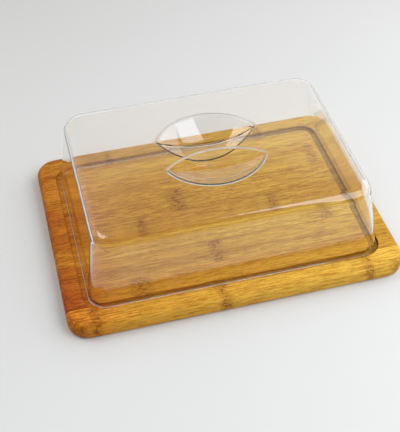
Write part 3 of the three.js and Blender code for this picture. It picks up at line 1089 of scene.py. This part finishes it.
def cover_mesh(sizes, place):
    """One closed mesh of both skins, joined along the rim."""
    form = CoverForm(sizes)
    points, faces, loops, exact, lips = [], [], [], {}, {}
    for inside in (0.0, sizes.wall):
        rings, top, top_faces, normals = form.skin(inside)
        order = -1 if inside else 1
        start, size = len(points), len(rings[0])
        for ring in rings:
            points.extend(ring)
        top_start = len(points)
        points.extend(top)
        starts = [start + size * level for level in range(len(rings))] + [top_start]
        for below, above in zip(starts, starts[1:]):
            for i in range(size):
                after = (i + 1) % size
                faces.append((below + i, below + after, above + after, above + i)[::order])
        for face in top_faces:
            faces.append(tuple(top_start + i for i in face)[::order])
        exact.update((top_start + i, order * normal) for i, normal in enumerate(normals))
        if not inside:
            lips.update((top_start + i, lip) for i, lip in enumerate(form.near_lip(*top.T)))
        loops.append((start, size))
    (outer, size), (inner, _) = loops
    for i in range(size):
        after = (i + 1) % size
        faces.append((outer + after, outer + i, inner + i, inner + after))
    points = np.array(points) + np.array(place)
    mesh = bpy.data.meshes.new("moulded_cover")
    mesh.from_pydata(points.tolist(), [], faces)
    mesh.validate()
    mesh.polygons.foreach_set("use_smooth", [True] * len(mesh.polygons))
    mesh.update()
    normals = np.zeros(len(mesh.vertices) * 3, np.float32)
    mesh.vertex_normals.foreach_get("vector", normals)
    normals = normals.reshape(-1, 3)
    for index, normal in exact.items():
        normals[index] = normal
    mesh.normals_split_custom_set_from_vertices(normals.tolist())
    spots = np.array([vertex.co for vertex in mesh.vertices])
    worn = frosting(spots, [lips.get(i, 0.0) for i in range(len(spots))])
    mesh.attributes.new("lip", "FLOAT", "POINT").data.foreach_set("value", worn)
    return mesh


def plastic_material(finish):
    material, bench = new_material("Clear Moulded Plastic")
    # The pits' upper edges and the rim's foot are a little frosted by hands and washing.
    lip = bench.add("ShaderNodeAttribute", attribute_name="lip").outputs["Fac"]
    rough = bench.ramp(lip, 0.1, 0.9, finish.roughness, finish.lip_roughness)
    shader = bench.add("ShaderNodeBsdfPrincipled")
    bench.fill(
        shader,
        {
            "Base Color": (*finish.tint, 1.0),
            "Roughness": rough,
            "IOR": finish.refraction,
            "Transmission Weight": 1.0,
        },
    )
    # Lamps shine straight through, so that the board under the cover is lit.
    through = bench.add("ShaderNodeBsdfTransparent", (*finish.lamp_tint, 1.0))
    path = bench.add("ShaderNodeLightPath")
    for_bounce = bench.add("ShaderNodeMixShader", path.outputs["Is Diffuse Ray"])
    bench.feed(for_bounce.inputs[1], shader.outputs["BSDF"])
    bench.feed(for_bounce.inputs[2], through.outputs["BSDF"])
    for_lamp = bench.add("ShaderNodeMixShader", path.outputs["Is Shadow Ray"])
    bench.feed(for_lamp.inputs[1], for_bounce.outputs[0])
    bench.feed(for_lamp.inputs[2], through.outputs["BSDF"])
    finish_material(bench, for_lamp)
    return material


class CHEESEDOME_OT_make_cover(bpy.types.Operator):
    """Make the clear moulded cover"""

    bl_idname = "cheesedome.make_cover"
    bl_label = "Make Cover"
    bl_options = {"REGISTER", "UNDO"}

    def execute(self, context):
        sizes = context.scene.cheese_dome.cover
        low, high = COVER_BOX
        place = ((low.x + high.x) / 2, (low.y + high.y) / 2, low.z)
        mesh = cover_mesh(sizes, place)
        mesh.materials.append(plastic_material(context.scene.cheese_dome.plastic))
        piece = bpy.data.objects.new("moulded_cover", mesh)
        context.scene.collection.objects.link(piece)
        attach(piece, "cover")
        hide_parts(COVER_NODE)
        return {"FINISHED"}


# ---------------------------------------------------------------- stage


def floor_material(studio):
    """A pale sweep with painted shade: it grows a little darker away from the front."""
    material, bench = new_material("Pale Sweep")
    spot = bench.add("ShaderNodeTexCoord").outputs["Object"]
    # Painted shade: the floor darkens towards the back.
    back = bench.ramp(bench.split(spot)["Y"], -0.35, 0.75)
    tone = bench.blend(back, (*studio.floor, 1.0), (*studio.floor_back_shade, 1.0))
    cloud = bench.ramp(bench.noise(spot, 3.0, 2.0), 0.3, 0.7, 0.985, 1.0)
    tone = bench.blend(1.0, tone, bench.combine(cloud, cloud, cloud), "MULTIPLY")
    shader = bench.add("ShaderNodeBsdfPrincipled")
    bench.fill(shader, {"Base Color": tone, "Roughness": 0.75, "Specular IOR Level": 0.2})
    finish_material(bench, shader)
    return material


def soft_box(name, place, aim, along, width, height, brightness, tint=(1.0, 1.0, 1.0)):
    """A rectangular lamp that faces aim, with its width laid along a direction."""
    light = bpy.data.lights.new(name, "AREA")
    light.shape = "RECTANGLE"
    light.size = width
    light.size_y = height
    light.energy = brightness * math.pi * width * height
    light.color = tint
    lamp = bpy.data.objects.new(name, light)
    away = (Vector(place) - Vector(aim)).normalized()
    side = (Vector(along) - away * away.dot(Vector(along))).normalized()
    facing = Matrix((side, away.cross(side), away)).transposed()
    lamp.matrix_world = Matrix.Translation(place) @ facing.to_4x4()
    bpy.context.scene.collection.objects.link(lamp)


def surroundings(studio):
    """A dim room with a bright backdrop behind the table, up to halfway overhead."""
    world = bpy.data.worlds.new("Studio Surroundings")
    world.use_nodes = True
    world.node_tree.nodes.clear()
    bench = NodeBench(world.node_tree)
    parts = bench.split(bench.add("ShaderNodeTexCoord").outputs["Generated"])
    level = bench.vector("NORMALIZE", bench.combine(parts["X"], parts["Y"], 0.0))
    backdrop_way = (-0.17, 0.985, 0.0)
    behind = bench.add("ShaderNodeVectorMath", level, backdrop_way, operation="DOT_PRODUCT")
    behind = behind.outputs["Value"]
    across = bench.ramp(behind, 0.52, 0.70)
    low = bench.ramp(parts["Z"], 0.56, 0.78, 1.0, 0.0)
    lit = bench.ramp(behind, -0.75, 0.1, 0.5, 1.0)
    room = bench.blend(lit, (0.0, 0.0, 0.0, 1.0), (*studio.room, 1.0))
    tone = bench.blend(bench.times(across, low), room, (*studio.backdrop, 1.0))
    glow = bench.add("ShaderNodeBackground", tone, 1.0)
    bench.fill(bench.add("ShaderNodeOutputWorld"), {"Surface": glow.outputs[0]})
    return world


def table_camera(studio):
    """A camera that turns round its aim on the table, and rolls about its line of sight."""
    azimuth, elevation, roll = studio.azimuth, studio.elevation, studio.roll
    flat = math.cos(elevation)
    back = Vector((math.sin(azimuth) * flat, -math.cos(azimuth) * flat, math.sin(elevation)))
    right = (-back).cross(Vector((0, 0, 1))).normalized()
    up = right.cross(-back)
    turned_right = right * math.cos(roll) + up * math.sin(roll)
    turned_up = up * math.cos(roll) - right * math.sin(roll)
    turn = Matrix((turned_right, turned_up, back)).transposed().to_4x4()
    view = bpy.data.cameras.new("Table Camera")
    view.lens = studio.lens
    view.sensor_width = 36.0
    view.clip_start, view.clip_end = 0.05, 50.0
    camera = bpy.data.objects.new("Table Camera", view)
    place = Vector((studio.aim_x, studio.aim_y, 0.0)) + back * studio.distance
    camera.matrix_world = Matrix.Translation(place) @ turn
    return camera


class CHEESEDOME_OT_set_stage(bpy.types.Operator):
    """Set up the floor, the lamps and the camera"""

    bl_idname = "cheesedome.set_stage"
    bl_label = "Set Stage"
    bl_options = {"REGISTER", "UNDO"}

    def execute(self, context):
        scene = context.scene
        studio = scene.cheese_dome.studio
        scene.view_settings.view_transform = "Standard"

        mesh = bpy.data.meshes.new("pale_floor")
        reach = 6.0
        corners = [(-reach, -reach, 0), (reach, -reach, 0), (reach, reach, 0), (-reach, reach, 0)]
        mesh.from_pydata(corners, [], [(0, 1, 2, 3)])
        mesh.materials.append(floor_material(studio))
        floor = bpy.data.objects.new("pale_floor", mesh)
        scene.collection.objects.link(floor)
        floor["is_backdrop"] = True

        scene.world = surroundings(studio)
        # Each lamp: its place, what it faces, which way its width lies, width, height, brightness
        cool = (0.90, 1.0, 1.16)
        for lamp in (
            ("Window", (1.22, 0.06, 0.66), (0, 0, 0.08), (0, 1, 0), 1.9, 1.1, studio.window),
            ("Overhead Box", (0.98, -0.82, 1.45), (0.6, -0.5, 0), (-0.28, 1, 0), 2.3, 0.9,
             studio.overhead, cool),
            ("Skylight", (-0.76, 0.57, 1.40), (-0.12, -0.08, 0.08), (1, 1, 0), 0.85, 0.72,
             studio.skylight),
        ):
            soft_box(*lamp)

        scene.camera = table_camera(studio)
        scene.collection.objects.link(scene.camera)
        return {"FINISHED"}


# ---------------------------------------------------------------- add-on


class CHEESEDOME_PT_panel(bpy.types.Panel):
    """Lists the cheese dome's pieces"""

    bl_idname = "CHEESEDOME_PT_panel"
    bl_label = "Cheese Dome"
    bl_space_type = "VIEW_3D"
    bl_region_type = "UI"
    bl_category = "Cheese Dome"

    def draw(self, context):
        settings = context.scene.cheese_dome
        for title, names, operator in (
            ("Board", ("board", "bamboo"), CHEESEDOME_OT_make_board),
            ("Cover", ("cover", "plastic"), CHEESEDOME_OT_make_cover),
            ("Stage", ("studio",), CHEESEDOME_OT_set_stage),
        ):
            box = self.layout.box()
            box.label(text=title)
            for name in names:
                group = getattr(settings, name)
                for prop in group.bl_rna.properties:
                    if prop.identifier not in ("rna_type", "name"):
                        box.prop(group, prop.identifier)
            box.operator(operator.bl_idname)


CLASSES = (
    BoardSizes,
    BambooFinish,
    CoverSizes,
    PlasticFinish,
    StudioSettings,
    CheeseDomeSettings,
    CHEESEDOME_OT_make_board,
    CHEESEDOME_OT_make_cover,
    CHEESEDOME_OT_set_stage,
    CHEESEDOME_PT_panel,
)


def register():
    for cls in CLASSES:
        bpy.utils.register_class(cls)
    bpy.types.Scene.cheese_dome = PointerProperty(type=CheeseDomeSettings)


def unregister():
    del bpy.types.Scene.cheese_dome
    for cls in reversed(CLASSES):
        bpy.utils.unregister_class(cls)


def main():
    register()
    bpy.ops.cheesedome.make_board()
    bpy.ops.cheesedome.make_cover()
    bpy.ops.cheesedome.set_stage()
    boxes = {"cad_box": cad_box, "visual_box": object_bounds()}
    sizes = {name: [list(corner) for corner in box] for name, box in boxes.items()}


if __name__ == "__main__":
    main()
